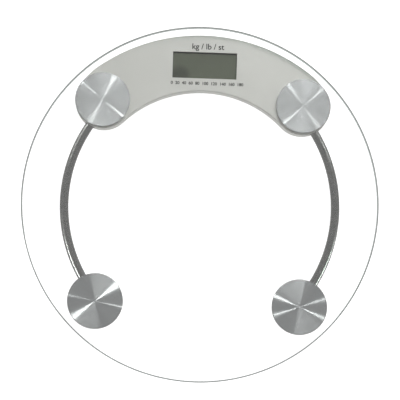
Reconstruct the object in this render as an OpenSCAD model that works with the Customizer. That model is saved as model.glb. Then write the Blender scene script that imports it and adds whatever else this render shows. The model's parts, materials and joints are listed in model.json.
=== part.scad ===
// Round glass platform scale on four load-cell feet.
// Origin on the standing surface under the centre of the glass, +Z up, display towards +Y.

/* [Glass] */
// Diameter of the glass platform
glass_d = 330; // [326:1:332]
// Thickness of the tempered glass
glass_t = 6; // [5:0.5:8]
// Rounding of the polished glass edge
glass_round = 1.5; // [0.5:0.25:2]
// Height of the glass top above the standing surface
top_z = 25; // [25:0.5:27]

/* [Feet] */
// Distance of each foot from the centre line, left to right
foot_x = 93.7; // [93:0.1:94.5]
// Distance of each foot from the centre line, front to rear
foot_y = 93.7; // [93:0.1:94.5]
// Diameter of the brushed metal discs bonded under the glass
disc_d = 51; // [50.5:0.5:51.5]
// Thickness of the metal discs
disc_t = 2.5; // [2.5:0.1:3]
// Diameter of the rubber soles
sole_d = 31; // [29:0.5:31]
// How far a foot drops when the scale is lifted
foot_drop = 0.7; // [0.3:0.05:0.75]

/* [Display housing] */
// Thickness of the outer walls
wall = 1.6; // [1.4:0.1:1.8]
// Thickness of the housing top
roof_t = 1.8; // [1.6:0.1:2]
// Height of the housing floor above the standing surface
floor_z = 4.5; // [4.3:0.1:4.6]
// Thickness of the floor plates
floor_t = 1.5; // [1.4:0.1:1.6]
// Radius of the inner edge of the crescent
inner_r = 105.2; // [104.8:0.1:105.4]
// Radius of the outer edge of the crescent
outer_r = 164.5; // [164:0.1:165]
// Radius of the rounded ends of the crescent
lobe_r = 26.2; // [26:0.1:26.5]
// Radius of the curve that joins each end to the outer edge
shoulder_r = 60; // [50:1:80]

/* [Display] */
// Width of the display window
window_w = 60; // [56:0.5:60]
// Height of the display window
window_h = 25; // [22:0.5:25.5]
// Sideways place of the display window
window_x = 0.5; // [0:0.5:1.5]
// Distance of the display window from the centre of the glass
window_y = 129.5; // [129:0.1:130]

/* [Cable tubes] */
// Outer diameter of the cable tubes
tube_d = 8; // [7.6:0.1:8]
// Wall thickness of the cable tubes
tube_wall = 0.8; // [0.6:0.1:0.9]
// Radius of the tubes' bend
tube_bend_r = 135; // [134.5:0.5:135.5]

/* [Battery and button] */
// Diameter of the coin cell
cell_d = 20; // [19.9:0.1:20]
// Thickness of the coin cell
cell_t = 3.2; // [3.1:0.1:3.2]
// Diameter of the unit button
button_d = 6; // [5:0.2:6.4]
// Travel of the unit button
button_travel = 0.5; // [0.3:0.1:0.5]

/* [Hidden] */
$fn = 96;
eps = 0.01;
gap = 0.1;

// Levels, from the top down
glass_z = top_z - glass_t;
disc_z = glass_z - disc_t;
roof_z = disc_z - roof_t;
floor_top_z = floor_z + floor_t;

// Load cell and its seat
cell_plate_z = 9;
cell_plate_t = 2.5;
cell_plate_w = 34;
cell_top_z = cell_plate_z + cell_plate_t;
seat_post = 14.5;
gauge_w = 7;
gauge_l = 6;
gauge_t = 1.2;
gauge_y = -8;

// Feet
opening_r = 17;
cap_r = 16.5;
cap_wall = 1.8;
cap_z = 1.2;
flange_r = 18;
flange_z = floor_top_z + foot_drop + gap;
flange_t = 1.2;
boss_r = 4;
sole_t = 2;
sole_r = sole_d / 2;

// Screws
disc_screw_spots = [[11, 3], [-11, 3], [0, 12]];
cover_screw_r = 20.5;
cover_screw_spots = [[cover_screw_r, 0], [-cover_screw_r, 0], [0, cover_screw_r]];
middle_screw_spots = [[-58, 139], [58, 139], [-38, 103], [38, 103], [0, 151.5]];
post_r = 2;

// Front housings
cup_r = 24.5;

// Cable tubes: each is an arc about a point just past the centre line
tube_r = tube_d / 2;
tube_cx = 126 - tube_bend_r;
tube_cy = -2;
tube_z = 10.4;
tube_rear_end = 34.2;
tube_front_end = -33;
tube_rear_wall = 32.5;
tube_front_wall = -31.9;
grommet_r = 5;

// Crescent outline: an outer arc, a shoulder and a round end on each side, and an inner arc
lobe_at = (inner_r + lobe_r) * [cos(45), sin(45)];
outer_at = [0, 158.1 - outer_r];
to_lobe = lobe_at - outer_at;
lobe_dist = norm(to_lobe);
outer_to_shoulder = outer_r - shoulder_r;
shoulder_to_lobe = shoulder_r - lobe_r;
shoulder_turn = acos((outer_to_shoulder * outer_to_shoulder + lobe_dist * lobe_dist
    - shoulder_to_lobe * shoulder_to_lobe) / (2 * outer_to_shoulder * lobe_dist));
shoulder_dir = atan2(to_lobe.y, to_lobe.x) + shoulder_turn;
shoulder_at = outer_at + outer_to_shoulder * [cos(shoulder_dir), sin(shoulder_dir)];
lobe_dir = atan2(lobe_at.y - shoulder_at.y, lobe_at.x - shoulder_at.x);

// Electronics
board_w = 92;
board_h = 35;
board_z = 9.3;
board_t = 1.2;
board_top_z = board_z + board_t;
board_screw_spots = [[-42.5, 115.5], [42.5, 115.5], [-42.5, 143.5], [42.5, 143.5]];
panel_w = window_w + 3.5;
panel_h = window_h + 4;
panel_t = 2.5;
panel_z = roof_z - panel_t;
bezel_wall = 3.2;
zebra_w = 2.2;
plug_l = 7;
plug_w = 7;
plug_h = 4;
plug_x = 41;
plug_y = 129;
lead_z = 12.4;
lead_r = 0.8;
lead_pitch = 2.2;

// Battery well, turned so that its door faces along the crescent
well_dir = 60;
well_at = 122 * [cos(well_dir), sin(well_dir)];
well_r = cell_d / 2 + 0.7;
well_wall = 1.3;
well_top_z = 11.4;
well_roof_t = 1;
coin_z = floor_top_z + 0.5;
coin_top_z = coin_z + cell_t;
door_w = 24.6;
door_l = 26.6;
door_gap = 0.2;
door_pin_r = 0.5;
door_pin_l = 1.6;
door_axis_z = floor_z + floor_t / 2;
door_axis_y = -door_l / 2 + floor_t / 2;
wire_r = 0.5;
wire_z = board_z + board_t / 2;
tab_dirs = [120, 140];

// Unit button
button_at = [24, 124];
button_flange_r = button_d / 2 + 0.9;
button_flange_t = 0.5;
plunger_r = 1.2;
plunger_z = 6.7;

// Colours
glass_colour = [0.85, 0.93, 0.92, 0.35];
disc_colour = [0.68, 0.7, 0.72];
housing_colour = [0.77, 0.77, 0.75];
display_colour = [0.38, 0.4, 0.35];
steel_colour = [0.55, 0.56, 0.56];
rubber_colour = [0.12, 0.12, 0.12];
board_colour = [0.1, 0.35, 0.2];

// Point on the centre line of the right-hand tube at a given angle
function tube_point(angle) =
    [tube_cx + tube_bend_r * cos(angle), tube_cy + tube_bend_r * sin(angle)];

// Angle by which a foot's parts are turned, so that their -Y side faces the tube
function foot_turn(row) =
    let (end = tube_point(row > 0 ? tube_rear_end : tube_front_end) - [foot_x, row * foot_y])
    atan2(end.y, end.x) + 90;

function turned(p, angle) =
    [p.x * cos(angle) - p.y * sin(angle), p.x * sin(angle) + p.y * cos(angle)];

// From a foot's own frame to the plan of the whole scale, right-hand side
function foot_point(row, p) = [foot_x, row * foot_y] + turned(p, foot_turn(row));

function arc(centre, radius, from, to, count) =
    [for (i = [0 : count]) centre + radius * [cos(from + (to - from) * i / count),
                                               sin(from + (to - from) * i / count)]];

function bezier(a, b, c, d, count) =
    [for (i = [1 : count]) let (t = i / count, s = 1 - t)
        s * s * s * a + 3 * s * s * t * b + 3 * s * t * t * c + t * t * t * d];

function mirrored_points(points) =
    [for (i = [len(points) - 1 : -1 : 0]) [-points[i].x, points[i].y]];

// Right half of the crescent from the middle of the inner edge round to the middle of the outer edge
function crescent_half(inset) = concat(
    arc([0, 0], inner_r + inset, 90, 45, 30),
    arc(lobe_at, lobe_r - inset, -135, lobe_dir, 32),
    arc(shoulder_at, shoulder_r - inset, lobe_dir + 2, shoulder_dir, 8),
    arc(outer_at, outer_r - inset, shoulder_dir + 1, 90, 30)
);

function crescent_outline(inset) =
    let (half = crescent_half(inset), count = len(half))
    concat([for (i = [0 : count - 2]) half[i]],
           mirrored_points([for (i = [1 : count - 1]) half[i]]));

module crescent(inset, from_z, to_z) {
    translate([0, 0, from_z])
        linear_extrude(to_z - from_z)
            polygon(crescent_outline(inset));
}

// Mirrors the right-hand parts to the left
module on_side(side) {
    if (side > 0) {
        children();
    } else {
        mirror([1, 0, 0]) children();
    }
}

// Places parts at a foot: side 1 is right and -1 is left, row 1 is rear and -1 is front
module at_foot(side, row) {
    on_side(side)
        translate([foot_x, row * foot_y, 0])
            rotate([0, 0, foot_turn(row)])
                children();
}

module at_tube(angle) {
    translate([tube_cx, tube_cy, 0])
        rotate([0, 0, angle])
            translate([tube_bend_r, 0, tube_z])
                rotate([-90, 0, 0])
                    children();
}

module at_well() {
    translate([well_at.x, well_at.y, 0])
        rotate([0, 0, well_dir - 90])
            children();
}

module ring(outer, inner, from_z, to_z) {
    translate([0, 0, from_z]) {
        difference() {
            cylinder(r = outer, h = to_z - from_z);
            translate([0, 0, -1]) cylinder(r = inner, h = to_z - from_z + 2);
        }
    }
}

module disk(radius, from_z, to_z) {
    translate([0, 0, from_z]) cylinder(r = radius, h = to_z - from_z);
}

module block(width, length, from_z, to_z) {
    translate([-width / 2, -length / 2, from_z]) cube([width, length, to_z - from_z]);
}

module rounded_block(width, length, radius, from_z, to_z) {
    translate([0, 0, from_z]) {
        linear_extrude(to_z - from_z) {
            square([width - 2 * radius, length], center = true);
            square([width, length - 2 * radius], center = true);
            for (x = [-1, 1], y = [-1, 1]) {
                translate([x * (width / 2 - radius), y * (length / 2 - radius)]) circle(r = radius);
            }
        }
    }
}

// Solid tube with eight sides along a level path
module swept_lead(path, radius, z) {
    sides = 8;
    count = len(path);
    heading = [for (i = [0 : count - 1])
        let (step = path[min(i + 1, count - 1)] - path[max(i - 1, 0)]) step / norm(step)];
    points = [for (i = [0 : count - 1]) for (k = [0 : sides - 1])
        let (a = 360 * (k + 0.5) / sides)
        [path[i].x - heading[i].y * radius * cos(a), path[i].y + heading[i].x * radius * cos(a),
         z + radius * sin(a)]];
    walls = [for (i = [0 : count - 2]) for (k = [0 : sides - 1])
        let (next = (k + 1) % sides)
        [i * sides + next, i * sides + k, (i + 1) * sides + k, (i + 1) * sides + next]];
    start_cap = [for (k = [0 : sides - 1]) k];
    end_cap = [for (k = [sides - 1 : -1 : 0]) (count - 1) * sides + k];
    polyhedron(points = points, faces = concat([start_cap], walls, [end_cap]), convexity = 6);
}

// Screw with its head below and its thread above, and a cross in the head
module screw(head_r, head_t, shank_r, length) {
    cross_l = head_r * 1.3;
    difference() {
        union() {
            cylinder(r = head_r, h = head_t, $fn = 32);
            translate([0, 0, head_t - eps]) cylinder(r = shank_r, h = length + eps, $fn = 32);
        }
        for (turn = [0, 90]) {
            rotate([0, 0, turn]) block(cross_l, head_r * 0.28, -eps, head_t * 0.55);
        }
    }
}

module glass_platform() {
    flat_r = glass_d / 2 - glass_round;
    color(glass_colour)
        translate([0, 0, glass_z])
            rotate_extrude($fn = 180) {
                square([flat_r, glass_t]);
                translate([0, glass_round]) square([glass_d / 2, glass_t - 2 * glass_round]);
                translate([flat_r, glass_round]) circle(r = glass_round);
                translate([flat_r, glass_t - glass_round]) circle(r = glass_round);
            }
}

// Metal disc bonded under the glass, tapped from below for the housing screws
module foot_disc(side, row) {
    bevel = 0.3;
    tap_r = 1.5;
    color(disc_colour)
        at_foot(side, row)
            difference() {
                union() {
                    disk(disc_d / 2, disc_z, glass_z - bevel);
                    translate([0, 0, glass_z - bevel])
                        cylinder(r1 = disc_d / 2, r2 = disc_d / 2 - bevel, h = bevel);
                }
                for (spot = disc_screw_spots) {
                    translate([spot.x, spot.y, 0]) disk(tap_r, disc_z - eps, disc_z + 1.8);
                }
            }
}

// Posts, hooks and screw pillars that hold a load cell under a housing roof
module cell_seat() {
    post_gap = 0.15;
    hook_x = cell_plate_w / 2 + post_gap;
    hook_t = 1.4;
    for (x = [-1, 1]) {
        for (y = [-1, 1]) {
            translate([x * seat_post, y * seat_post, 0]) disk(post_r, cell_top_z, roof_z + eps);
        }
        translate([x * (hook_x + hook_t / 2), 0, 0]) block(hook_t, 8, 8.2, roof_z + eps);
        translate([x * (hook_x - 0.4), 0, 0]) block(0.8 + eps, 8, 8.2, cell_plate_z - gap);
    }
    for (spot = cover_screw_spots) {
        translate([spot.x, spot.y, 0]) screw_pillar(floor_top_z);
    }
}

// Hollow pillar for a self-tapping screw, from a given level up to the roof
module screw_pillar(from_z) {
    difference() {
        disk(post_r, from_z, roof_z + eps);
        disk(1, from_z - eps, from_z + 6);
    }
}

module disc_screw_holes() {
    for (spot = disc_screw_spots) {
        translate([spot.x, spot.y, 0]) disk(1.6, roof_z - 1, disc_z + 1);
    }
}

// Crescent shell with the display window, open below
module display_housing_top() {
    bevel = 0.5;
    color(housing_colour)
        difference() {
            union() {
                difference() {
                    union() {
                        crescent(0, floor_z, disc_z - bevel);
                        crescent(bevel, disc_z - bevel - eps, disc_z);
                    }
                    crescent(wall, floor_z - 1, roof_z);
                }
                for (side = [-1, 1]) {
                    at_foot(side, 1) cell_seat();
                }
                for (spot = middle_screw_spots) {
                    translate([spot.x, spot.y, 0]) screw_pillar(floor_top_z);
                }
                for (spot = board_screw_spots) {
                    translate([spot.x, spot.y, 0]) screw_pillar(board_top_z);
                }
            }
            translate([window_x, window_y, 0]) block(window_w, window_h, roof_z - 1, disc_z + 1);
            for (side = [-1, 1]) {
                at_foot(side, 1) disc_screw_holes();
                on_side(side) at_tube(tube_rear_wall) cylinder(r = grommet_r, h = 9, center = true);
            }
        }
}

module floor_screw_hole() {
    disk(1.1, floor_z - 1, floor_top_z + 1);
    disk(2.1, floor_z - 1, floor_z + 1.1);
}

// Floor of the crescent, with the battery well and the openings for feet and button
module display_housing_bottom() {
    pin_box_l = 3;
    finger_r = 6;
    color(housing_colour)
        difference() {
            union() {
                crescent(wall + gap, floor_z, floor_top_z);
                at_well() {
                    disk(well_r + well_wall, floor_z, well_top_z);
                    for (x = [-1, 1]) {
                        translate([x * (door_w / 2 + door_gap + pin_box_l / 2), door_axis_y, 0])
                            block(pin_box_l, 3, floor_z, floor_top_z + 1);
                    }
                }
            }
            for (side = [-1, 1]) {
                at_foot(side, 1) {
                    disk(opening_r, floor_z - 1, floor_top_z + 1);
                    for (spot = cover_screw_spots) {
                        translate([spot.x, spot.y, 0]) floor_screw_hole();
                    }
                }
            }
            for (spot = middle_screw_spots) {
                translate([spot.x, spot.y, 0]) floor_screw_hole();
            }
            translate([button_at.x, button_at.y, 0])
                disk(button_d / 2 + 0.15, floor_z - 1, floor_top_z + 1);
            at_well() {
                disk(well_r, floor_z - 1, well_top_z - well_roof_t);
                block(door_w + 2 * door_gap, door_l + 2 * door_gap, floor_z - 1, floor_top_z);
                translate([0, door_l / 2 + 1, floor_z - finger_r + 0.8])
                    sphere(r = finger_r);
                translate([0, door_axis_y, door_axis_z])
                    rotate([0, 90, 0])
                        cylinder(r = door_pin_r + 0.05, h = door_w + 2 * door_pin_l + 0.6,
                                 center = true, $fn = 32);
                for (dir = tab_dirs) {
                    rotate([0, 0, dir - well_dir + 90])
                        translate([well_r + 1, 0, 0])
                            block(6, 2.4, coin_top_z - 0.5, well_top_z - well_roof_t);
                }
            }
        }
}

// Round plastic cup under a front disc, open below
module front_housing(side) {
    bevel = 0.5;
    color(housing_colour)
        difference() {
            at_foot(side, -1) {
                difference() {
                    union() {
                        disk(cup_r, floor_z, disc_z - bevel);
                        translate([0, 0, disc_z - bevel])
                            cylinder(r1 = cup_r, r2 = cup_r - bevel, h = bevel);
                    }
                    disk(cup_r - wall, floor_z - 1, roof_z);
                    disc_screw_holes();
                }
                cell_seat();
            }
            on_side(side) at_tube(tube_front_wall) cylinder(r = grommet_r, h = 9, center = true);
        }
}

// Ring that closes a front housing round its foot
module front_cover(side) {
    color(housing_colour)
        at_foot(side, -1)
            difference() {
                ring(cup_r - wall - gap, opening_r, floor_z, floor_top_z);
                for (spot = cover_screw_spots) {
                    translate([spot.x, spot.y, 0]) floor_screw_hole();
                }
            }
}

// Stamped steel plate: a frame, and a tongue that the foot bends
module load_cell(side, row) {
    tongue_w = 20;
    slot = 1.8;
    tongue_tip = 10;
    tongue_root = -12;
    beam_w = 8;
    beam_from = -11.5;
    beam_to = -4.5;
    color(steel_colour)
        at_foot(side, row)
            difference() {
                rounded_block(cell_plate_w, cell_plate_w, 4, cell_plate_z, cell_top_z);
                for (x = [-1, 1]) {
                    translate([x * (tongue_w + slot) / 2, (tongue_tip + tongue_root + slot) / 2, 0])
                        block(slot, tongue_tip - tongue_root + slot, cell_plate_z - 1, cell_top_z + 1);
                    translate([x * (beam_w + tongue_w - 6) / 4 + x * 1.5, (beam_from + beam_to) / 2, 0])
                        block(3, beam_to - beam_from, cell_plate_z - 1, cell_top_z + 1);
                }
                translate([0, tongue_tip + slot / 2, 0])
                    block(tongue_w + 2 * slot, slot, cell_plate_z - 1, cell_top_z + 1);
            }
}

// Strain gauge under its block of white silicone
module strain_gauge(side, row) {
    color([0.9, 0.9, 0.88])
        at_foot(side, row)
            translate([0, gauge_y, 0])
                rounded_block(gauge_w, gauge_l, 0.8, cell_top_z, cell_top_z + gauge_t);
}

module cable_tube(side) {
    color(steel_colour)
        on_side(side)
            translate([tube_cx, tube_cy, tube_z])
                rotate([0, 0, tube_front_end])
                    rotate_extrude(angle = tube_rear_end - tube_front_end, $fn = 180)
                        translate([tube_bend_r, 0])
                            difference() {
                                circle(r = tube_r);
                                circle(r = tube_r - tube_wall);
                            }
}

// Rubber sleeve in a housing wall round the tube, flush with the wall on both sides
module tube_grommet(side, row) {
    centre = row > 0 ? lobe_at : [foot_x, -foot_y];
    outer = row > 0 ? lobe_r : cup_r;
    skin = 0.05;
    color(rubber_colour)
        on_side(side)
            intersection() {
                at_tube(row > 0 ? tube_rear_wall : tube_front_wall) {
                    difference() {
                        cylinder(r = grommet_r - gap, h = 8.6, center = true);
                        cylinder(r = tube_r + 0.15, h = 10, center = true);
                    }
                }
                translate([centre.x, centre.y, 0])
                    ring(outer - skin, outer - wall + skin, floor_z, disc_z);
            }
}

module lcd_panel() {
    color(display_colour)
        translate([window_x, window_y, 0])
            block(panel_w, panel_h, panel_z, roof_z);
}

// Plastic frame that holds the display panel and the contact strips on the board
module lcd_bezel() {
    outer_w = panel_w + 2 * bezel_wall;
    outer_h = panel_h + 2 * bezel_wall;
    color([0.9, 0.9, 0.88])
        translate([window_x, window_y, 0])
            difference() {
                rounded_block(outer_w, outer_h, 2, board_top_z, roof_z - gap);
                block(panel_w + 2 * gap, panel_h + 2 * gap, board_top_z - 1, roof_z + 1);
            }
}

// Conductive rubber strip between the board and the display panel
module zebra_strip(row) {
    color([0.85, 0.45, 0.55])
        translate([window_x, window_y + row * (panel_h - zebra_w) / 2, 0])
            block(panel_w - 6, zebra_w, board_top_z, panel_z);
}

module main_board() {
    color(board_colour)
        difference() {
            translate([0, window_y, 0]) rounded_block(board_w, board_h, 1.5, board_z, board_top_z);
            for (spot = board_screw_spots) {
                translate([spot.x, spot.y, 0]) disk(1.1, board_z - 1, board_top_z + 1);
            }
        }
}

// Drop of black epoxy over the bare chip, under the board
module chip_cover() {
    drop_r = 5;
    drop_t = 1.3;
    ball_r = (drop_r * drop_r + drop_t * drop_t) / (2 * drop_t);
    color([0.08, 0.08, 0.08])
        intersection() {
            translate([-12, window_y, board_z - drop_t + ball_r]) sphere(r = ball_r);
            translate([-12, window_y, 0]) block(14, 14, board_z - 2, board_z);
        }
}

// Resistors, capacitors and a crystal under the board
module board_components() {
    chip_rows = [[-32, 118], [-26, 118], [-20, 118], [2, 118], [-32, 140], [-26, 140], [2, 140], [8, 140]];
    color([0.3, 0.25, 0.2]) {
        for (spot = chip_rows) {
            translate([spot.x, spot.y, 0]) block(2, 1.25, board_z - 0.6, board_z);
        }
        translate([4, 129, 0]) rounded_block(8, 3.4, 1.6, board_z - 2.6, board_z);
        translate([32, 138, 0]) disk(2.5, board_z - 2.8, board_z);
    }
}

// Switch under the board that the unit button works
module unit_switch() {
    color([0.2, 0.2, 0.2])
        translate([button_at.x, button_at.y, 0])
            difference() {
                block(6, 6, 7.3, board_z);
                disk(plunger_r + 0.1, 7, board_z - 0.1);
            }
}

// Socket and plug where the sensor leads reach the board
module lead_plug(side) {
    color([0.93, 0.93, 0.9])
        on_side(side)
            translate([plug_x, plug_y, 0])
                block(plug_l, plug_w, board_top_z, board_top_z + plug_h);
}

module coin_cell() {
    rim = 0.4;
    color([0.75, 0.76, 0.77])
        at_well() {
            disk(cell_d / 2, coin_z, coin_top_z - rim);
            disk(cell_d / 2 - 1.2, coin_top_z - rim - eps, coin_top_z);
        }
}

module contact_tab(index) {
    rotate([0, 0, tab_dirs[index] - well_dir + 90])
        translate([well_r + 1.5, 0, 0])
            block(3.4, 2, coin_top_z + 0.1, coin_top_z + 0.6);
}

// Spring strip against the side of the coin cell
module battery_contact_plus() {
    strip_t = 0.35;
    strip_dir = tab_dirs[0] - well_dir + 90;
    color([0.8, 0.78, 0.7])
        at_well() {
            intersection() {
                ring(well_r - 0.1, well_r - 0.1 - strip_t, coin_z + 0.4, coin_top_z + 0.6);
                rotate([0, 0, strip_dir])
                    translate([well_r, 0, 0]) {
                        block(8, 9, coin_z, coin_top_z - 0.2);
                        block(8, 2, coin_z, well_top_z);
                    }
            }
            contact_tab(0);
        }
}

// Flat strip over the coin cell, with a raised spot that touches it
module battery_contact_minus() {
    strip_dir = tab_dirs[1] - well_dir + 90;
    color([0.8, 0.78, 0.7])
        at_well() {
            disk(2, coin_top_z, coin_top_z + 0.4);
            rotate([0, 0, strip_dir])
                translate([well_r / 2 - gap, 0, 0])
                    block(well_r, 2, coin_top_z + 0.35, coin_top_z + 0.6);
            contact_tab(1);
        }
}

// Two short wires from the battery contacts to the edge of the board
module battery_wires() {
    tab_reach = well_r + 3.4;
    board_edge = board_w / 2;
    landing_y = [120, 115];
    color([0.7, 0.1, 0.1])
        for (i = [0, 1]) {
            start = well_at + tab_reach * [cos(tab_dirs[i]), sin(tab_dirs[i])];
            end = [board_edge, landing_y[i]];
            last = end + [0.6, 0];
            path = concat([start], bezier(start, start + [-1, 1.5], last + [2.4, 0], last, 6), [end]);
            swept_lead(path, wire_r, wire_z);
        }
}

// Last stretch of a lead, from beside the rear load cell to its plug
function lead_to_plug(start, heading, slot_y) =
    let (end = [plug_x + plug_l / 2, plug_y + slot_y], last = end + [1, 0])
    concat([start], bezier(start, start + 12 * heading, last + [13, 0], last, 10), [end]);

// Lead from the rear load cell to the board
module sensor_lead_rear(side) {
    run_x = -3.8;
    heading = turned([0, 1], foot_turn(1));
    gauge_edge = gauge_y + gauge_l / 2;
    near = [[-2, gauge_edge], [-2, gauge_edge + 2], [run_x, gauge_edge + 8], [run_x, 12]];
    path = concat([for (p = near) foot_point(1, p)],
                  lead_to_plug(foot_point(1, [run_x, 20]), heading, lead_pitch / 2));
    color([0.15, 0.15, 0.15]) on_side(side) swept_lead(path, lead_r, lead_z);
}

// Lead from the front load cell, through the tube and past the rear load cell to the board
module sensor_lead_front(side) {
    run_x = -6.2;
    heading = turned([0, 1], foot_turn(1));
    gauge_edge = gauge_y - gauge_l / 2;
    turn_in = bezier([0, -21.5], [0, -18], [run_x, -17.5], [run_x, -11], 6);
    path = concat([for (y = [gauge_edge, -14.5]) foot_point(-1, [0, y])],
                  [for (a = [tube_front_end : 2.8 : tube_rear_end]) tube_point(a)],
                  [for (p = turn_in) foot_point(1, p)],
                  [foot_point(1, [run_x, 5])],
                  lead_to_plug(foot_point(1, [run_x, 20]), heading, -lead_pitch / 2));
    color([0.15, 0.15, 0.15]) on_side(side) swept_lead(path, lead_r, lead_z);
}

// Twelve screws that hold the housings up against the metal discs
module disc_screws() {
    head_t = 1.6;
    color(steel_colour)
        for (side = [-1, 1], row = [-1, 1]) {
            at_foot(side, row)
                for (spot = disc_screw_spots) {
                    translate([spot.x, spot.y, roof_z - head_t]) screw(2.6, head_t, 1.45, 3.4);
                }
        }
}

module cover_screw() {
    translate([0, 0, floor_z]) screw(1.9, 1.1, 0.95, 6);
}

// Eleven screws in the floor of the crescent
module housing_screws() {
    color(steel_colour) {
        for (side = [-1, 1]) {
            at_foot(side, 1)
                for (spot = cover_screw_spots) {
                    translate([spot.x, spot.y, 0]) cover_screw();
                }
        }
        for (spot = middle_screw_spots) {
            translate([spot.x, spot.y, 0]) cover_screw();
        }
    }
}

// Three screws in the cover of each front foot
module front_cover_screws() {
    color(steel_colour)
        for (side = [-1, 1]) {
            at_foot(side, -1)
                for (spot = cover_screw_spots) {
                    translate([spot.x, spot.y, 0]) cover_screw();
                }
        }
}

module board_screws() {
    head_t = 1.2;
    color(steel_colour)
        for (spot = board_screw_spots) {
            translate([spot.x, spot.y, board_z - head_t]) screw(1.8, head_t, 0.95, 4.6);
        }
}

// Hinged battery door with two pins, a rounded hinge edge and a thumb ridge
module battery_door() {
    ridge_w = 10;
    color(housing_colour)
        at_well() {
            difference() {
                translate([0, floor_t / 4, 0])
                    block(door_w, door_l - floor_t / 2, floor_z, floor_top_z);
                for (i = [0 : 3]) {
                    translate([0, door_l / 2 - 3 - i * 1.4, 0])
                        block(ridge_w, 0.6, floor_z - 1, floor_z + 0.4);
                }
            }
            translate([0, door_axis_y, door_axis_z])
                rotate([0, 90, 0]) {
                    cylinder(r = floor_t / 2, h = door_w, center = true);
                    cylinder(r = door_pin_r, h = door_w + 2 * door_pin_l, center = true, $fn = 32);
                }
        }
}

// Round button under the housing that changes the unit
module unit_button() {
    flange_from = floor_top_z + gap;
    dish_r = 14;
    color([0.35, 0.36, 0.36])
        translate([button_at.x, button_at.y, 0])
            difference() {
                union() {
                    disk(button_d / 2, floor_z, flange_from + button_flange_t);
                    disk(button_flange_r, flange_from, flange_from + button_flange_t);
                }
                translate([0, 0, floor_z - dish_r + 0.25]) sphere(r = dish_r);
            }
}

// Stem of the unit switch, which the button lifts
module switch_plunger() {
    color([0.85, 0.85, 0.85])
        translate([button_at.x, button_at.y, 0])
            disk(plunger_r, plunger_z, board_z - 0.1 - button_travel - 0.1);
}

// Moulded foot: a cup with a flange that keeps it in, and a boss that lifts the load cell's tongue
module foot_cap(side, row) {
    plate_z = sole_t;
    plate_t = 1.8;
    color([0.2, 0.2, 0.2])
        at_foot(side, row) {
            ring(cap_r, sole_r + gap, cap_z, plate_z + eps);
            disk(cap_r, plate_z, plate_z + plate_t);
            ring(cap_r, cap_r - cap_wall, plate_z + plate_t - eps, flange_z + flange_t);
            ring(flange_r, cap_r - eps, flange_z, flange_z + flange_t);
            disk(boss_r, plate_z + plate_t - eps, cell_plate_z);
            for (turn = [0, 90]) {
                rotate([0, 0, turn])
                    block(2 * (cap_r - cap_wall) + 0.2, 1.4, plate_z + plate_t - eps, 6.6);
            }
        }
}

// Rubber sole with two ring grooves
module foot_sole(side, row) {
    groove_t = 0.6;
    edge = 0.5;
    color(rubber_colour)
        at_foot(side, row)
            difference() {
                union() {
                    cylinder(r1 = sole_r - edge, r2 = sole_r, h = edge);
                    disk(sole_r, edge, sole_t);
                }
                ring(8, 7, -1, groove_t);
                ring(12, 11, -1, groove_t);
            }
}

glass_platform();
foot_disc(1, 1);  // foot_disc_rear_right
foot_disc(-1, 1);  // foot_disc_rear_left
foot_disc(1, -1);  // foot_disc_front_right
foot_disc(-1, -1);  // foot_disc_front_left
display_housing_top();
display_housing_bottom();
front_housing(1);  // front_housing_right
front_housing(-1);  // front_housing_left
front_cover(1);  // front_cover_right
front_cover(-1);  // front_cover_left
load_cell(1, 1);  // load_cell_rear_right
load_cell(-1, 1);  // load_cell_rear_left
load_cell(1, -1);  // load_cell_front_right
load_cell(-1, -1);  // load_cell_front_left
strain_gauge(1, 1);  // strain_gauge_rear_right
strain_gauge(-1, 1);  // strain_gauge_rear_left
strain_gauge(1, -1);  // strain_gauge_front_right
strain_gauge(-1, -1);  // strain_gauge_front_left
cable_tube(1);  // cable_tube_right
cable_tube(-1);  // cable_tube_left
tube_grommet(1, 1);  // tube_grommet_rear_right
tube_grommet(-1, 1);  // tube_grommet_rear_left
tube_grommet(1, -1);  // tube_grommet_front_right
tube_grommet(-1, -1);  // tube_grommet_front_left
lcd_panel();
lcd_bezel();
zebra_strip(-1);  // zebra_strip_front
zebra_strip(1);  // zebra_strip_rear
main_board();
chip_cover();
board_components();
unit_switch();
lead_plug(1);  // lead_plug_right
lead_plug(-1);  // lead_plug_left
coin_cell();
battery_contact_plus();
battery_contact_minus();
battery_wires();
sensor_lead_rear(1);  // sensor_lead_rear_right
sensor_lead_rear(-1);  // sensor_lead_rear_left
sensor_lead_front(1);  // sensor_lead_front_right
sensor_lead_front(-1);  // sensor_lead_front_left
disc_screws();
housing_screws();
front_cover_screws();
board_screws();
battery_door();
unit_button();
switch_plunger();
foot_cap(1, 1);  // foot_cap_rear_right
foot_cap(-1, 1);  // foot_cap_rear_left
foot_cap(1, -1);  // foot_cap_front_right
foot_cap(-1, -1);  // foot_cap_front_left
foot_sole(1, 1);  // foot_sole_rear_right
foot_sole(-1, 1);  // foot_sole_rear_left
foot_sole(1, -1);  // foot_sole_front_right
foot_sole(-1, -1);  // foot_sole_front_left
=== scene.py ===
import json
import math

import bmesh
import bpy
from mathutils import Matrix, Vector


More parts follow.
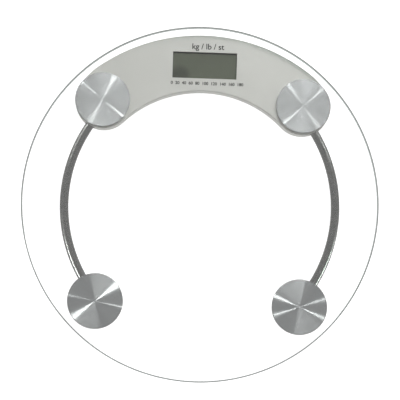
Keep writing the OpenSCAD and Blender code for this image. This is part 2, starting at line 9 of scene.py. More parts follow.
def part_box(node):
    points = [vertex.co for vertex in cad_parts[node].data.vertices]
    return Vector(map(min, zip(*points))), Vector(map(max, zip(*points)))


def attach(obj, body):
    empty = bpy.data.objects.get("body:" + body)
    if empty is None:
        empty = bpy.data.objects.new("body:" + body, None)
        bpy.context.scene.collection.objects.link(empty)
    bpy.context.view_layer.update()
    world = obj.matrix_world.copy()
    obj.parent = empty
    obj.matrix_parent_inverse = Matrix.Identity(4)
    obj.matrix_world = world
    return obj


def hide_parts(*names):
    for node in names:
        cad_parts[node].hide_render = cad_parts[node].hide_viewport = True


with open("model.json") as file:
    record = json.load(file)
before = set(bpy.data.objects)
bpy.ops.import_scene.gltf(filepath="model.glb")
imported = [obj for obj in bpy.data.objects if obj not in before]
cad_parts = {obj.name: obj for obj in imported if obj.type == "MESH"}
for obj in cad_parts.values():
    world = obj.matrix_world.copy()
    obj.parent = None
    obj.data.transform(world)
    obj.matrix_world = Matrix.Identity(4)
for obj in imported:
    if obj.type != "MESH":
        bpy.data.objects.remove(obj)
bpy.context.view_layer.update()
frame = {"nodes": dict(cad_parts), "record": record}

MM = 0.001
CORNERS = ("rear_right", "rear_left", "front_right", "front_left")

# ---------------------------------------------------------------- places, from the frame
GLASS_LOW, GLASS_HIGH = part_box("glass_platform")
PANEL_LOW, PANEL_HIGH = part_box("lcd_panel")
PANEL_MIDDLE = (PANEL_LOW + PANEL_HIGH) / 2
HOUSING_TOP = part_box("display_housing_top")[1].z


# ---------------------------------------------------------------- camera
CAMERA_DISTANCE = 1.25
CAMERA_TILT = math.radians(7.02)
CAMERA_TURN = math.radians(-103.0)
CAMERA_ROLL = math.radians(-1.65)
CAMERA_LENS = 122.2
CAMERA_REACH = 20
AIM = Vector((-0.5 * MM, 1.7 * MM, GLASS_HIGH.z))


def make_camera():
    away = Vector((
        math.sin(CAMERA_TILT) * math.cos(CAMERA_TURN),
        math.sin(CAMERA_TILT) * math.sin(CAMERA_TURN),
        math.cos(CAMERA_TILT),
    ))
    up = Vector((math.sin(CAMERA_ROLL), math.cos(CAMERA_ROLL), 0))
    right = up.cross(away).normalized()
    up = away.cross(right)
    camera = bpy.data.cameras.new("camera")
    camera.lens = CAMERA_LENS
    camera.clip_end = CAMERA_REACH
    holder = bpy.data.objects.new("camera", camera)
    turn = Matrix((right, up, away)).transposed().to_4x4()
    holder.matrix_world = Matrix.Translation(AIM + CAMERA_DISTANCE * away) @ turn
    bpy.context.collection.objects.link(holder)
    bpy.context.scene.camera = holder


make_camera()


# ---------------------------------------------------------------- material tools
def rgba(colour):
    """Adds the alpha that a colour socket wants."""
    return (*colour, 1) if isinstance(colour, tuple) and len(colour) == 3 else colour


def shaded(colour, change):
    """The same colour, lighter or darker by a share."""
    return tuple(min(1, c * (1 + change)) for c in colour)


class Nodes:
    """Short names for building one node tree."""

    def __init__(self, tree):
        self.tree = tree
        self.tree.nodes.clear()

    def add(self, kind, **settings):
        node = self.tree.nodes.new(kind)
        for key, value in settings.items():
            setattr(node, key, value)
        return node

    def link(self, start, end):
        self.tree.links.new(start, end)

    def feed(self, socket, value):
        """Links an output to a socket, or sets a plain value on it."""
        if isinstance(value, bpy.types.NodeSocket):
            self.link(value, socket)
        else:
            socket.default_value = value

    def math(self, operation, *values):
        node = self.add("ShaderNodeMath", operation=operation)
        for socket, value in zip(node.inputs, values):
            self.feed(socket, value)
        return node.outputs[0]

    def vector(self, operation, *values):
        node = self.add("ShaderNodeVectorMath", operation=operation)
        for socket, value in zip(node.inputs, values):
            self.feed(socket, value)
        return node.outputs["Value" if operation == "LENGTH" else "Vector"]

    def place(self):
        """Where a point lies on its own piece, in metres."""
        return self.add("ShaderNodeTexCoord").outputs["Object"]

    def noise(self, where, scale, detail, rough=0.5):
        node = self.add("ShaderNodeTexNoise")
        self.link(where, node.inputs["Vector"])
        node.inputs["Scale"].default_value = scale
        node.inputs["Detail"].default_value = detail
        node.inputs["Roughness"].default_value = rough
        return node.outputs["Fac"]

    def spread(self, value, low, high, from_low=0.3, from_high=0.7):
        """Maps a pattern's usual range to low..high."""
        node = self.add("ShaderNodeMapRange")
        self.feed(node.inputs["Value"], value)
        node.inputs["From Min"].default_value = from_low
        node.inputs["From Max"].default_value = from_high
        node.inputs["To Min"].default_value = low
        node.inputs["To Max"].default_value = high
        return node.outputs["Result"]

    def mix(self, factor, first, second):
        """Mixes two colours."""
        node = self.add("ShaderNodeMix", data_type="RGBA")
        self.feed(node.inputs["Factor"], factor)
        self.feed(node.inputs["A"], rgba(first))
        self.feed(node.inputs["B"], rgba(second))
        return node.outputs["Result"]

    def plain(self, kind, colour):
        """A shader of one colour."""
        node = self.add(kind)
        node.inputs["Color"].default_value = rgba(colour)
        return node

    def glow(self, strength):
        """A shader that gives light."""
        node = self.add("ShaderNodeEmission")
        self.feed(node.inputs["Strength"], strength)
        return node

    def blend(self, factor, first, second):
        """Mixes two shaders."""
        node = self.add("ShaderNodeMixShader")
        self.feed(node.inputs[0], factor)
        self.link(first.outputs[0], node.inputs[1])
        self.link(second.outputs[0], node.inputs[2])
        return node

    def ray_kinds(self):
        """Two switches: 1 where no face has reflected the ray, 1 where only shiny faces have."""
        path = self.add("ShaderNodeLightPath")
        diffuse, glossy = path.outputs["Diffuse Depth"], path.outputs["Glossy Depth"]
        seen = self.math("LESS_THAN", self.math("ADD", diffuse, glossy), 0.5)
        shiny = self.math("LESS_THAN", diffuse, 0.5)
        return seen, shiny


class Surface(Nodes):
    """Node tree of a new material, which starts as one Principled shader."""

    def __init__(self, name):
        self.material = bpy.data.materials.new(name)
        self.material.use_nodes = True
        super().__init__(self.material.node_tree)
        self.output = self.add("ShaderNodeOutputMaterial")
        self.shader = self.add("ShaderNodeBsdfPrincipled")
        self.show(self.shader)

    def show(self, shader):
        self.link(shader.outputs[0], self.output.inputs["Surface"])

    def set(self, **values):
        """Values or outputs for the shader's own sockets; _ stands for a space."""
        for key, value in values.items():
            self.feed(self.shader.inputs[key.replace("_", " ")], rgba(value))

    def bump(self, height, strength, distance):
        node = self.add("ShaderNodeBump")
        self.link(height, node.inputs["Height"])
        node.inputs["Strength"].default_value = strength
        node.inputs["Distance"].default_value = distance
        self.set(Normal=node.outputs["Normal"])

    def let_lamps_through(self, colour, surface):
        """Gives the light of the lamps a clear path, with the slight loss of the glass."""
        clear = self.plain("ShaderNodeBsdfTransparent", colour)
        path = self.add("ShaderNodeLightPath")
        self.show(self.blend(path.outputs["Is Shadow Ray"], surface, clear))


# ---------------------------------------------------------------- plain materials
TONES_PER_METRE = 25
GLOSS_PATCHES_PER_METRE = 90
GLOSS_CHANGE = 0.06
GRAIN_BUMP = 0.35
MARK_GLOSS = 0.15
MARK_BUMP = 0.3


def moulded(name, colour, roughness=0.5, grain=0.4, depth=0.02, tone=0.04, specular=0.5):
    """Moulded plastic: slow changes of tone and gloss, and a grain so wide and deep, in mm."""
    n = Surface(name)
    where = n.place()
    slow = n.spread(n.noise(where, TONES_PER_METRE, 3), 0, 1)
    patches = n.noise(where, GLOSS_PATCHES_PER_METRE, 3)
    n.set(
        Base_Color=n.mix(slow, shaded(colour, -tone), shaded(colour, tone)),
        Roughness=n.spread(patches, roughness - GLOSS_CHANGE, roughness + GLOSS_CHANGE),
        Specular_IOR_Level=specular,
    )
    n.bump(n.noise(where, 1 / (grain * MM), 2, 0.6), GRAIN_BUMP, depth * MM)
    return n.material


def rubber(name):
    return moulded(name, (0.02, 0.02, 0.02), 0.75, 0.7, 0.04, tone=0.25, specular=0.35)


def metal(name, colour, roughness, marks_per_metre=900, depth=0.004, tone=0.08, drawn=(1, 1, 1)):
    """Metal with fine marks, so deep in mm. A small number in drawn stretches them that way."""
    n = Surface(name)
    marks = n.noise(n.vector("MULTIPLY", n.place(), drawn), marks_per_metre, 3, 0.6)
    n.set(
        Metallic=1.0,
        Base_Color=n.mix(n.spread(marks, 0, 1), shaded(colour, -tone), colour),
        Roughness=n.spread(marks, roughness * (1 - MARK_GLOSS), roughness * (1 + MARK_GLOSS)),
    )
    n.bump(marks, MARK_BUMP, depth * MM)
    return n.material


# ---------------------------------------------------------------- glass
GLASS_IOR = 1.5
GLASS_LOSS = (0.93, 0.94, 0.935)
GLASS_TINT = (0.80, 0.86, 0.83)
TINT_PER_METRE = 6.0
WAVES_PER_METRE = 18
WAVE_BUMP, WAVE_DEPTH = 0.03, 0.2 * MM

EDGE_DARK = (0.05, 0.056, 0.053)
EDGE_LIGHT = (0.07, 0.077, 0.074)
EDGE_SOAK = (0.86, 0.89, 0.88)
EDGE_SOAK_SHARE = 0.5
EDGE_CLEAR_SHARE = 0.1
EDGE_LOSS = (0.6, 0.6, 0.6)
EDGE_TONES_PER_METRE = 60
GROUND_GRAINS_PER_METRE = 2500
GROUND_BUMP, GROUND_DEPTH = 0.2, 0.01 * MM


def clear_glass():
    """Clear tempered glass with a faint roller wave and the green of its own body."""
    n = Surface("tempered_glass")
    n.set(Base_Color=(1.0, 1.0, 1.0), Roughness=0.0, IOR=GLASS_IOR, Transmission_Weight=1.0)
    n.bump(n.noise(n.place(), WAVES_PER_METRE, 1), WAVE_BUMP, WAVE_DEPTH)
    n.let_lamps_through(GLASS_LOSS, n.shader)
    body = n.plain("ShaderNodeVolumeAbsorption", GLASS_TINT)
    body.inputs["Density"].default_value = TINT_PER_METRE
    n.link(body.outputs[0], n.output.inputs["Volume"])
    return n.material


def ground_edge():
    """Edge of the glass, ground and then polished to a satin. Light also soaks through it."""
    n = Surface("ground_edge")
    where = n.place()
    slow = n.spread(n.noise(where, EDGE_TONES_PER_METRE, 2), 0, 1)
    n.set(
        Base_Color=n.mix(slow, EDGE_DARK, EDGE_LIGHT),
        Roughness=0.45,
        IOR=GLASS_IOR,
        Transmission_Weight=EDGE_CLEAR_SHARE,
    )
    n.bump(n.noise(where, GROUND_GRAINS_PER_METRE, 2), GROUND_BUMP, GROUND_DEPTH)
    soak = n.plain("ShaderNodeBsdfTranslucent", EDGE_SOAK)
    n.let_lamps_through(EDGE_LOSS, n.blend(EDGE_SOAK_SHARE, n.shader, soak))
    return n.material


# ---------------------------------------------------------------- turned steel
RINGS_PER_METRE = 120
RING_SHARE = 0.3
# Scale of the painted sheen fans round the disc's centre
SHEEN_FANS_ROUND = 1.7
STEEL_DARK = (0.60, 0.615, 0.615)
STEEL_LIGHT = (0.70, 0.715, 0.715)
GROOVE_ROUGHNESS = 0.145
GROOVE_STRETCH = 0.83
GROOVE_SHARE = 0.85


def turned_disc():
    """Steel turned in fine circles round the piece's own centre, so that its shine spreads out in
    fan shapes.
    """
    n = Surface("brushed_disc")
    flat = n.vector("MULTIPLY", n.place(), (1, 1, 0))
    # Broad turning rings of slightly different tone, and painted sheen: lighter and darker fans
    # round the centre, as the shine of turned steel falls
    rings = n.add("ShaderNodeTexNoise", noise_dimensions="1D")
    n.link(n.math("MULTIPLY", n.vector("LENGTH", flat), RINGS_PER_METRE), rings.inputs["W"])
    sheen_fans = n.noise(n.vector("NORMALIZE", flat), SHEEN_FANS_ROUND, 2)
    tone = n.math(
        "ADD",
        n.math("MULTIPLY", rings.outputs["Fac"], RING_SHARE),
        n.math("MULTIPLY", sheen_fans, 1 - RING_SHARE),
    )
    colour = n.mix(n.spread(tone, 0, 1), STEEL_DARK, STEEL_LIGHT)
    n.set(Base_Color=colour, Metallic=1.0, Roughness=0.35)
    # The grooves spread the shine across themselves and hardly at all along themselves
    grooves = n.add("ShaderNodeBsdfAnisotropic")
    n.link(colour, grooves.inputs["Color"])
    grooves.inputs["Roughness"].default_value = GROOVE_ROUGHNESS
    grooves.inputs["Anisotropy"].default_value = GROOVE_STRETCH
    tangent = n.add("ShaderNodeTangent", direction_type="RADIAL", axis="Z")
    n.link(tangent.outputs[0], grooves.inputs["Tangent"])
    n.show(n.blend(GROOVE_SHARE, n.shader, grooves))
    return n.material


# ---------------------------------------------------------------- display and circuit board
# Place, reaches and colour of a dark reflection painted on the display
REFLECTION_PLACE = (-24 * MM, -10 * MM, 0)
REFLECTION_INNER = 6 * MM
REFLECTION_OUTER = 12 * MM
REFLECTION_DARK = (0.056, 0.063, 0.046)
OLIVE = (0.098, 0.110, 0.079)
OLIVE_CHANGE = 0.12
OLIVE_TONES_PER_METRE = 40
SATIN_GRAINS_PER_METRE = 3000
SATIN_BUMP, SATIN_DEPTH = 0.1, 0.005 * MM

TRACKS_PER_METRE = 260
TRACK_EDGE = (0.05, 0.09)
MASK_GREEN = (0.012, 0.09, 0.035)
TRACK_GREEN = (0.03, 0.2, 0.07)
TRACK_BUMP, TRACK_DEPTH = 0.4, 0.03 * MM


def display_face():
    """Olive display under a satin polariser, with a painted dark reflection near one corner."""
    n = Surface("display_glass")
    where = n.place()
    # Painted reflection: a soft dark patch near one corner, where a dark reflection falls on the
    # panel
    away = n.vector("LENGTH", n.vector("SUBTRACT", where, REFLECTION_PLACE))
    painted_reflection = n.spread(away, 0, 1, REFLECTION_INNER, REFLECTION_OUTER)
    slow = n.spread(n.noise(where, OLIVE_TONES_PER_METRE, 2), -1, 1)
    tone = n.math("ADD", painted_reflection, n.math("MULTIPLY", slow, OLIVE_CHANGE))
    n.set(
        Base_Color=n.mix(tone, REFLECTION_DARK, OLIVE),
        Roughness=0.28,
        Coat_Weight=0.4,
        Coat_Roughness=0.08,
    )
    n.bump(n.noise(where, SATIN_GRAINS_PER_METRE, 2), SATIN_BUMP, SATIN_DEPTH)
    return n.material


def circuit_board():
    """Green solder mask over copper tracks."""
    n = Surface("circuit_board")
    lanes = n.add("ShaderNodeTexVoronoi", feature="DISTANCE_TO_EDGE", distance="MANHATTAN")
    n.link(n.place(), lanes.inputs["Vector"])
    lanes.inputs["Scale"].default_value = TRACKS_PER_METRE
    track = n.spread(lanes.outputs["Distance"], 1, 0, *TRACK_EDGE)
    n.set(Base_Color=n.mix(track, MASK_GREEN, TRACK_GREEN), Roughness=0.35)
    n.bump(track, TRACK_BUMP, TRACK_DEPTH)
    return n.material


# ---------------------------------------------------------------- table of materials
# Plastics: name, colour, roughness, then width and depth of the grain in mm
# Metals: name, colour, roughness, then marks to a metre, their depth in mm and change of tone
MATERIALS = {
    "tempered_glass": clear_glass(),
    "brushed_disc": turned_disc(),
    "housing_plastic": moulded("housing_plastic", (0.56, 0.56, 0.53), 0.45, tone=0.02),
    "cell_steel": metal("cell_steel", (0.62, 0.62, 0.60), 0.35, drawn=(1, 0.1, 1)),
    "silicone": moulded("silicone", (0.85, 0.85, 0.82), 0.4, 1.5, 0.08),
    "polished_tube": metal("polished_tube", (0.43, 0.43, 0.42), 0.22, 300, 0.0005, 0.05),
    "grommet_rubber": rubber("grommet_rubber"),
    "display_glass": display_face(),
    "bezel_plastic": moulded("bezel_plastic", (0.8, 0.8, 0.77)),
    "contact_rubber": moulded("contact_rubber", (0.65, 0.2, 0.28), 0.6),
    "circuit_board": circuit_board(),
    "chip_epoxy": moulded("chip_epoxy", (0.015, 0.015, 0.015), 0.25, 2, 0.05),
    "board_parts": moulded("board_parts", (0.07, 0.06, 0.05), 0.4),
    "plug_plastic": moulded("plug_plastic", (0.82, 0.81, 0.76), 0.4),
    "coin_cell_can": metal("coin_cell_can", (0.7, 0.7, 0.69), 0.28),
    "contact_metal": metal("contact_metal", (0.72, 0.68, 0.55), 0.25),
    "wire_insulation": moulded("wire_insulation", (0.02, 0.02, 0.02), 0.45),
    "screw_steel": metal("screw_steel", (0.6, 0.6, 0.58), 0.3),
    "button_plastic": moulded("button_plastic", (0.1, 0.1, 0.1), 0.4),
    "foot_plastic": moulded("foot_plastic", (0.035, 0.035, 0.035), 0.5),
    "sole_rubber": rubber("sole_rubber"),
}
EDGE = ground_edge()
SHEET_GLASS = moulded("sheet_glass", (0.30, 0.36, 0.32), 0.15, 4, 0.002)
# Dark sheet painted as the shadow of the window's rim on the display
SHADE_SHEET = moulded("display_painted_shade", (0.045, 0.048, 0.04), 0.4, 2, 0.002)
INK = moulded("print_ink", (0.02, 0.02, 0.017), 0.5, 0.6, 0.005)


# ---------------------------------------------------------------- mesh tools
CAD_CREASE = 30
PIECE_CREASE = 35
GLASS_CREASE = 60
ON_THE_AXIS = 1e-7
# Narrow flat ring beside each rounded edge, which keeps the shading of the flat face level
SUPPORT = 0.3 * MM


def shade_softly(piece, crease):
    """Smooth shading below an angle in degrees, with flat faces kept flat beside rounded edges."""
    mesh = piece.data
    mesh.polygons.foreach_set("use_smooth", [True] * len(mesh.polygons))
    mesh.set_sharp_from_angle(angle=math.radians(crease))
    even = piece.modifiers.new("even_shading", "WEIGHTED_NORMAL")
    even.keep_sharp = True


def new_piece(name, bm, slot, centre, crease=PIECE_CREASE):
    """Makes a piece from a bmesh whose points are about centre."""
    mesh = bpy.data.meshes.new(name)
    bmesh.ops.recalc_face_normals(bm, faces=bm.faces)
    bm.to_mesh(mesh)
    bm.free()
    piece = bpy.data.objects.new(name, mesh)
    piece.location = centre
    bpy.context.collection.objects.link(piece)
    if slot:
        mesh.materials.append(MATERIALS[slot])
    shade_softly(piece, crease)
    return piece


def rounded_corner(x, z, radius, start, steps):
    """Points of a quarter circle about (x, z), from angle start on, anticlockwise."""
    return [
        (x + radius * math.cos(math.radians(start + 90 * i / steps)),
         z + radius * math.sin(math.radians(start + 90 * i / steps)))
        for i in range(steps + 1)
    ]


def disc_outline(reach, low, high, bevel, steps):
    """Half section of a disc with rounded edges, as (radius, height) points."""
    flat = reach - bevel - SUPPORT
    outline = [(0, low), (flat, low)]
    outline += rounded_corner(reach - bevel, low + bevel, bevel, -90, steps)
    outline += rounded_corner(reach - bevel, high - bevel, bevel, 0, steps)
    outline += [(flat, high), (0, high)]
    return outline


def join_rings(bm, rings):
    """Faces from each ring of vertices to the next, and from the last one back to the first."""
    for ring, after in zip(rings, rings[1:] + rings[:1]):
        around = max(len(ring), len(after))
        if around == 1:
            continue
        for k in range(around):
            j = (k + 1) % around
            if len(ring) == 1:
                bm.faces.new((ring[0], after[j], after[k]))
            elif len(after) == 1:
                bm.faces.new((ring[k], ring[j], after[0]))
            else:
                bm.faces.new((ring[k], ring[j], after[j], after[k]))


def lathe(outline, segments):
    """Turns an outline of (radius, height) points round Z. A point on the axis is one vertex."""
    bm = bmesh.new()
    rings = []
    for radius, height in outline:
        if radius < ON_THE_AXIS:
            rings.append([bm.verts.new((0, 0, height))])
            continue
        rings.append([
            bm.verts.new((
                radius * math.cos(math.tau * k / segments),
                radius * math.sin(math.tau * k / segments),
                height,
            ))
            for k in range(segments)
        ])
    join_rings(bm, rings)
    return bm


# ---------------------------------------------------------------- CAD parts
def finish_cad_nodes():
    """Every CAD part gets its material and smooth shading over its soft edges."""
    for part in frame["record"]["subparts"]:
        node = frame["nodes"][part["node"]]
        mesh = node.data
        mesh.materials.clear()
        mesh.materials.append(MATERIALS[part["material_slot"]])
        mesh.polygons.foreach_set("material_index", [0] * len(mesh.polygons))
        shade_softly(node, CAD_CREASE)


finish_cad_nodes()


# ---------------------------------------------------------------- glass platform
GLASS_ROUND = 1.5 * MM
GLASS_SEGMENTS = 720
GLASS_CORNER_STEPS = 10
# Width of the satin band round the rim, seen from above
GROUND_BAND = 1.25 * MM


def make_glass():
    """Clear disc with rounded edges and a satin band round its rim."""
    reach = (GLASS_HIGH.x - GLASS_LOW.x) / 2
    half = (GLASS_HIGH.z - GLASS_LOW.z) / 2
    centre = (0, 0, (GLASS_LOW.z + GLASS_HIGH.z) / 2)
    outline = disc_outline(reach, -half, half, GLASS_ROUND, GLASS_CORNER_STEPS)
    turned = lathe(outline, GLASS_SEGMENTS)
    piece = new_piece("glass_disc", turned, "tempered_glass", centre, GLASS_CREASE)
    piece.data.materials.append(EDGE)
    for face in piece.data.polygons:
        rim = math.hypot(face.center.x, face.center.y) > reach - GROUND_BAND
        face.material_index = 1 if rim else 0
    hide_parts("glass_platform")
    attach(piece, "platform")


make_glass()


# ---------------------------------------------------------------- metal discs
DISC_BEVEL = 0.4 * MM
DISC_SEGMENTS = 256
DISC_CORNER_STEPS = 4
BOND = 0.08 * MM


def make_disc(corner):
    """Turned disc with softened edges, held off the glass by the thickness of its adhesive."""
    node = "foot_disc_" + corner
    low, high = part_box(node)
    reach = (high.x - low.x) / 2
    half = (high.z - low.z) / 2
    outline = disc_outline(reach, -half, half - BOND, DISC_BEVEL, DISC_CORNER_STEPS)
    turned = lathe(outline, DISC_SEGMENTS)
    piece = new_piece("metal_disc_" + corner, turned, "brushed_disc", (low + high) / 2)
    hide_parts(node)
    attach(piece, "platform")


for corner in CORNERS:
    make_disc(corner)


# ---------------------------------------------------------------- cable tubes
TUBE_D = 8 * MM
TUBE_WALL = 0.8 * MM
TUBE_LIP = TUBE_WALL / 4
TUBE_BEND = 135 * MM
TUBE_Y = -2 * MM
# Angles of its two ends about the centre of its bend, in degrees
TUBE_FROM, TUBE_TO = -33.0, 34.2
TUBE_STEPS = 120
TUBE_SEGMENTS = 64


def make_tube(side, name):
    """Polished tube bent to one arc, open at both ends."""
    low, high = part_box("cable_tube_" + name)
    reach = max(abs(low.x), abs(high.x)) - TUBE_D / 2
    centre = Vector((side * (reach - TUBE_BEND), TUBE_Y, (low.z + high.z) / 2))
    lip = TUBE_LIP
    turn = math.degrees(lip / TUBE_BEND)
    outer, inner = TUBE_D / 2, TUBE_D / 2 - TUBE_WALL
    along = [TUBE_FROM + (TUBE_TO - TUBE_FROM) * i / TUBE_STEPS for i in range(1, TUBE_STEPS)]
    # Radius and angle of each ring, along the outside and back along the inside
    rows = [(outer - lip, TUBE_FROM), (outer, TUBE_FROM + turn)]
    rows += [(outer, angle) for angle in along]
    rows += [(outer, TUBE_TO - turn), (outer - lip, TUBE_TO)]
    rows += [(inner + lip, TUBE_TO), (inner, TUBE_TO - turn)]
    rows += [(inner, angle) for angle in reversed(along)]
    rows += [(inner, TUBE_FROM + turn), (inner + lip, TUBE_FROM)]
    bm = bmesh.new()
    rings = []
    for radius, angle in rows:
        a = math.radians(angle)
        out = Vector((side * math.cos(a), math.sin(a), 0))
        rings.append([
            bm.verts.new(
                out * (TUBE_BEND + radius * math.cos(math.tau * k / TUBE_SEGMENTS))
                + Vector((0, 0, radius * math.sin(math.tau * k / TUBE_SEGMENTS)))
            )
            for k in range(TUBE_SEGMENTS)
        ])
    join_rings(bm, rings)
    piece = new_piece("bent_tube_" + name, bm, "polished_tube", centre)
    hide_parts("cable_tube_" + name)
    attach(piece, "platform")


make_tube(1, "right")
make_tube(-1, "left")


# ---------------------------------------------------------------- display
# Numbers of the panel's materials
FILM, SHEET, SHADE_BAND = 0, 1, 2
FILM_THICK = 0.25 * MM
FILM_INSET = 0.3 * MM
FILM_ROUND = 0.02 * MM
SHEET_ROUND = 0.06 * MM
# How far the lower sheet reaches out beyond the upper one
LEDGE = 1.0 * MM
# How far the panel reaches under the edges of the window
WINDOW_OVERLAP_X = 1.75 * MM
WINDOW_OVERLAP_Y = 2.0 * MM
# How much of the painted shadow band shows inside the window, along its left and its far edge,
# where the window's rim shades the display
SHADE_SHOWN_X = 0.5 * MM
SHADE_SHOWN_Y = 1.3 * MM


def slab(bm, low, high, round_off, number):
    """Adds a block with softened edges, and gives its faces a material number."""
    made = bmesh.ops.create_cube(bm, size=1)
    size = Vector(high) - Vector(low)
    centre = (Vector(high) + Vector(low)) / 2
    bmesh.ops.scale(bm, vec=size, verts=made["verts"])
    bmesh.ops.translate(bm, vec=centre, verts=made["verts"])
    edges = {e for v in made["verts"] for e in v.link_edges}
    rounded = bmesh.ops.bevel(
        bm, geom=list(edges), offset=round_off, segments=2, affect="EDGES"
    )
    kept = [v for v in made["verts"] if v.is_valid]
    faces = {f for v in rounded["verts"] + kept for f in v.link_faces}
    for face in faces:
        face.material_index = number


def make_display():
    """Two sheets of glass, one set in as a ledge, between polarising films, with dark strips
    painted as the rim's shadow.
    """
    x, y, top = (PANEL_HIGH - PANEL_LOW) / 2
    low_film = top - FILM_THICK
    back = -top + FILM_THICK
    film_x, film_y = x - FILM_INSET, y - LEDGE - FILM_INSET
    shade_x = x - WINDOW_OVERLAP_X - SHADE_SHOWN_X
    shade_y = y - WINDOW_OVERLAP_Y - SHADE_SHOWN_Y
    bm = bmesh.new()
    slab(bm, (-x, -y, back), (x, y, 0), SHEET_ROUND, SHEET)
    slab(bm, (-x, -y + LEDGE, 0), (x, y - LEDGE, low_film), SHEET_ROUND, SHEET)
    slab(bm, (-film_x, -y + FILM_INSET, -top), (film_x, y - FILM_INSET, back), SHEET_ROUND, FILM)
    slab(bm, (-shade_x, -film_y, low_film), (film_x, shade_y, top), FILM_ROUND, FILM)
    # Painted shadow: dark strips along the far and the left edge of the window, where its rim
    # shades the display
    slab(bm, (-film_x, shade_y, low_film), (film_x, film_y, top), FILM_ROUND, SHADE_BAND)
    slab(bm, (-film_x, -film_y, low_film), (-shade_x, shade_y, top), FILM_ROUND, SHADE_BAND)
    piece = new_piece("display_panel", bm, "display_glass", PANEL_MIDDLE)
    piece.data.materials.append(SHEET_GLASS)
    piece.data.materials.append(SHADE_SHEET)
    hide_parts("lcd_panel")
    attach(piece, "platform")


make_display()


# ---------------------------------------------------------------- printing
INK_HEIGHT = 0.03 * MM
SCALE_NUMBERS = "  ".join(str(kg) for kg in range(0, 181, 20))
# Words, their place from the middle of the window, the width of the line, and how bold it is
PRINTED_LINES = {
    "unit_names": ("kg / lb / st", (2.8 * MM, 17.2 * MM), 30 * MM, 0.016),
    "scale_numbers": (SCALE_NUMBERS, (2.6 * MM, -17.2 * MM), 68 * MM, 0.03),
}


def letters(name, words, bold):
    """Flat faces of a line of text, as a bmesh one unit high."""
    curve = bpy.data.curves.new(name, "FONT")
    curve.body = words
    curve.align_x = "CENTER"
    curve.align_y = "CENTER"
    curve.size = 1
    curve.offset = bold
    drawn = bpy.data.objects.new(name + "_curve", curve)
    bpy.context.collection.objects.link(drawn)
    bpy.context.view_layer.update()
    depsgraph = bpy.context.evaluated_depsgraph_get()
    mesh = bpy.data.meshes.new_from_object(drawn.evaluated_get(depsgraph))
    bpy.data.objects.remove(drawn)
    bm = bmesh.new()
    bm.from_mesh(mesh)
    bpy.data.meshes.remove(mesh)
    return bm


def print_line(name, words, place, width, bold):
    """Raised ink on the housing: a line of text of a given width, centred at a point."""
    bm = letters(name, words, bold)
    xs = [v.co.x for v in bm.verts]
    ys = [v.co.y for v in bm.verts]
    scale = width / (max(xs) - min(xs))
    shift = Vector((-(max(xs) + min(xs)) / 2, -(max(ys) + min(ys)) / 2, 0))
    for v in bm.verts:
        v.co = (v.co + shift) * scale
    risen = bmesh.ops.extrude_face_region(bm, geom=bm.faces[:])
    for item in risen["geom"]:
        if isinstance(item, bmesh.types.BMVert):
            item.co.z += INK_HEIGHT
    centre = (PANEL_MIDDLE.x + place[0], PANEL_MIDDLE.y + place[1], HOUSING_TOP)
    piece = new_piece(name, bm, None, centre)
    piece.data.materials.append(INK)
    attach(piece, "platform")


for name, line in PRINTED_LINES.items():
    print_line(name, *line)


# ---------------------------------------------------------------- stage
# Light levels: what the lens sees, what shines in metal and glass, and what lights matt faces
SEEN_LEVEL = 1.4
SHINE_LEVEL = 0.40
MATT_LEVEL = 0.9
MATT_FLOOR = 1.4
FLOOR_GLOW = 0.9
FLOOR_TONE = 0.45
FLOOR_HALF = 6
FLOOR_DROP = 0.2 * MM


def floor_paper():
    """Plain pale paper, which gives each kind of ray its own level of light."""
    n = Surface("floor")
    n.tree.nodes.remove(n.shader)
    seen, shiny = n.ray_kinds()
    bounce = n.glow(n.spread(shiny, MATT_FLOOR, SHINE_LEVEL, 0, 1))
    both = n.add("ShaderNodeAddShader")
    paper = n.plain("ShaderNodeBsdfDiffuse", (FLOOR_TONE, FLOOR_TONE, FLOOR_TONE))
    n.link(n.glow(FLOOR_GLOW).outputs[0], both.inputs[0])
    n.link(paper.outputs[0], both.inputs[1])
    n.show(n.blend(seen, bounce, both))
    n.material.cycles.emission_sampling = "NONE"
    return n.material


def make_floor():
    bm = bmesh.new()
    bmesh.ops.create_grid(bm, x_segments=1, y_segments=1, size=FLOOR_HALF)
    mesh = bpy.data.meshes.new("floor")
    bm.to_mesh(mesh)
    bm.free()
    mesh.materials.append(floor_paper())
    floor = bpy.data.objects.new("floor", mesh)
    floor.location.z = -FLOOR_DROP
    bpy.context.collection.objects.link(floor)


def make_world():
    """White all round for the lens, and darker in reflections."""
    world = bpy.data.worlds.new("studio")
    world.use_nodes = True
    world.cycles.sampling_method = "NONE"
    bpy.context.scene.world = world
    n = Nodes(world.node_tree)
    output = n.add("ShaderNodeOutputWorld")
    sky = n.add("ShaderNodeBackground")
    seen, shiny = n.ray_kinds()
    unseen = n.spread(shiny, MATT_LEVEL, SHINE_LEVEL, 0, 1)
    direct = n.math("MULTIPLY", seen, SEEN_LEVEL)
    bounced = n.math("MULTIPLY", n.math("SUBTRACT", 1.0, seen), unseen)
    n.link(n.math("ADD", direct, bounced), sky.inputs["Strength"])
    n.link(sky.outputs[0], output.inputs["Surface"])


make_floor()
make_world()


# ---------------------------------------------------------------- lamps
LAMP_AIM = Vector((0, 0, 0.02))
LENS = bpy.context.scene.camera.location.copy()
SHOWN = [o for o in bpy.context.scene.objects if o.type == "MESH" and not o.hide_render]


def group(name, belongs):
    """Collection of the visible pieces that one set of lamps lights."""
    lit = bpy.data.collections.new(name)
    for piece in SHOWN:
        if belongs(piece.name):
            lit.objects.link(piece)
    return lit


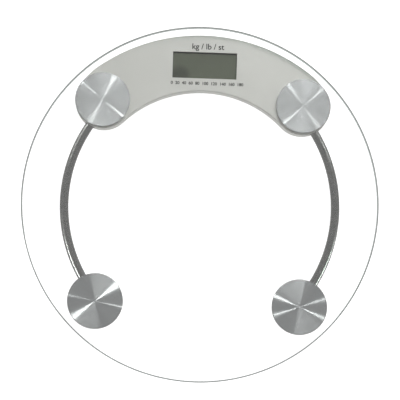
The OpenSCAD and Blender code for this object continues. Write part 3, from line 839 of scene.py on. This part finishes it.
def lamp(name, place, width, length, power, lit):
    """Soft box that faces the middle of the scale and lights one group of pieces."""
    light = bpy.data.lights.new(name, "AREA")
    light.shape = "RECTANGLE"
    light.size = width
    light.size_y = length
    light.energy = power
    light.cycles.use_multiple_importance_sampling = False
    holder = bpy.data.objects.new(name, light)
    holder.location = place
    toward = LAMP_AIM - Vector(place)
    holder.rotation_euler = toward.to_track_quat("-Z", "Y").to_euler()
    holder.visible_camera = False
    bpy.context.collection.objects.link(holder)
    holder.light_linking.receiver_collection = lit


def mirror_lamp(name, spot_x, spot_y, size, power, lit):
    """Lamp level with the lens, whose image in the discs lies at a given spot, in millimetres."""
    place = (2 * spot_x * MM - LENS.x, 2 * spot_y * MM - LENS.y, LENS.z)
    lamp(name, place, size, size, power, lit)


rear_discs = group("rear_discs", lambda name: name.startswith("metal_disc_rear"))
front_discs = group("front_discs", lambda name: name.startswith("metal_disc_front"))
left_tube = group("left_tube", lambda name: name.startswith("bent_tube_left"))
right_tube = group("right_tube", lambda name: name.startswith("bent_tube_right"))
matt = group("matt_parts", lambda name: not name.startswith(("metal_disc", "bent_tube")))

# Name, spot, size, power, and what it lights
mirror_lamp("rear_wide", -18.5, 266.6, 0.07, 0.45, rear_discs)
mirror_lamp("rear_narrow", 8.3, 12.6, 0.01, 0.115, rear_discs)
mirror_lamp("front_wide", -28.5, -41.8, 0.035, 0.25, front_discs)
mirror_lamp("front_narrow", 26.8, -117.1, 0.006, 0.055, front_discs)
# Name, place, width, length, power, and what it lights
lamp("rear_fill", (0.034, 0.367, LENS.z), 0.6, 1.4, 2.2, rear_discs)
lamp("front_fill", (0.034, 0.267, LENS.z), 0.5, 0.2, 0.7, front_discs)
lamp("left_strip", (-1.30, -0.68, 0.66), 0.85, 0.45, 10.5, left_tube)
lamp("left_rear_strip", (-1.10, 0.85, 0.75), 0.60, 0.60, 2.0, left_tube)
lamp("right_strip", (1.40, -0.64, 0.26), 0.85, 0.42, 13.0, right_tube)
lamp("right_rear_strip", (1.10, 0.85, 0.75), 0.60, 0.60, 1.5, right_tube)
lamp("key", (0.30, 0.75, 0.75), 0.30, 0.30, 3.5, matt)


# ---------------------------------------------------------------- render settings
BOUNCES = 16

scene = bpy.context.scene
scene.view_settings.view_transform = "Standard"
scene.cycles.use_denoising = True
scene.cycles.transparent_max_bounces = BOUNCES
scene.cycles.transmission_bounces = BOUNCES
scene.cycles.max_bounces = BOUNCES
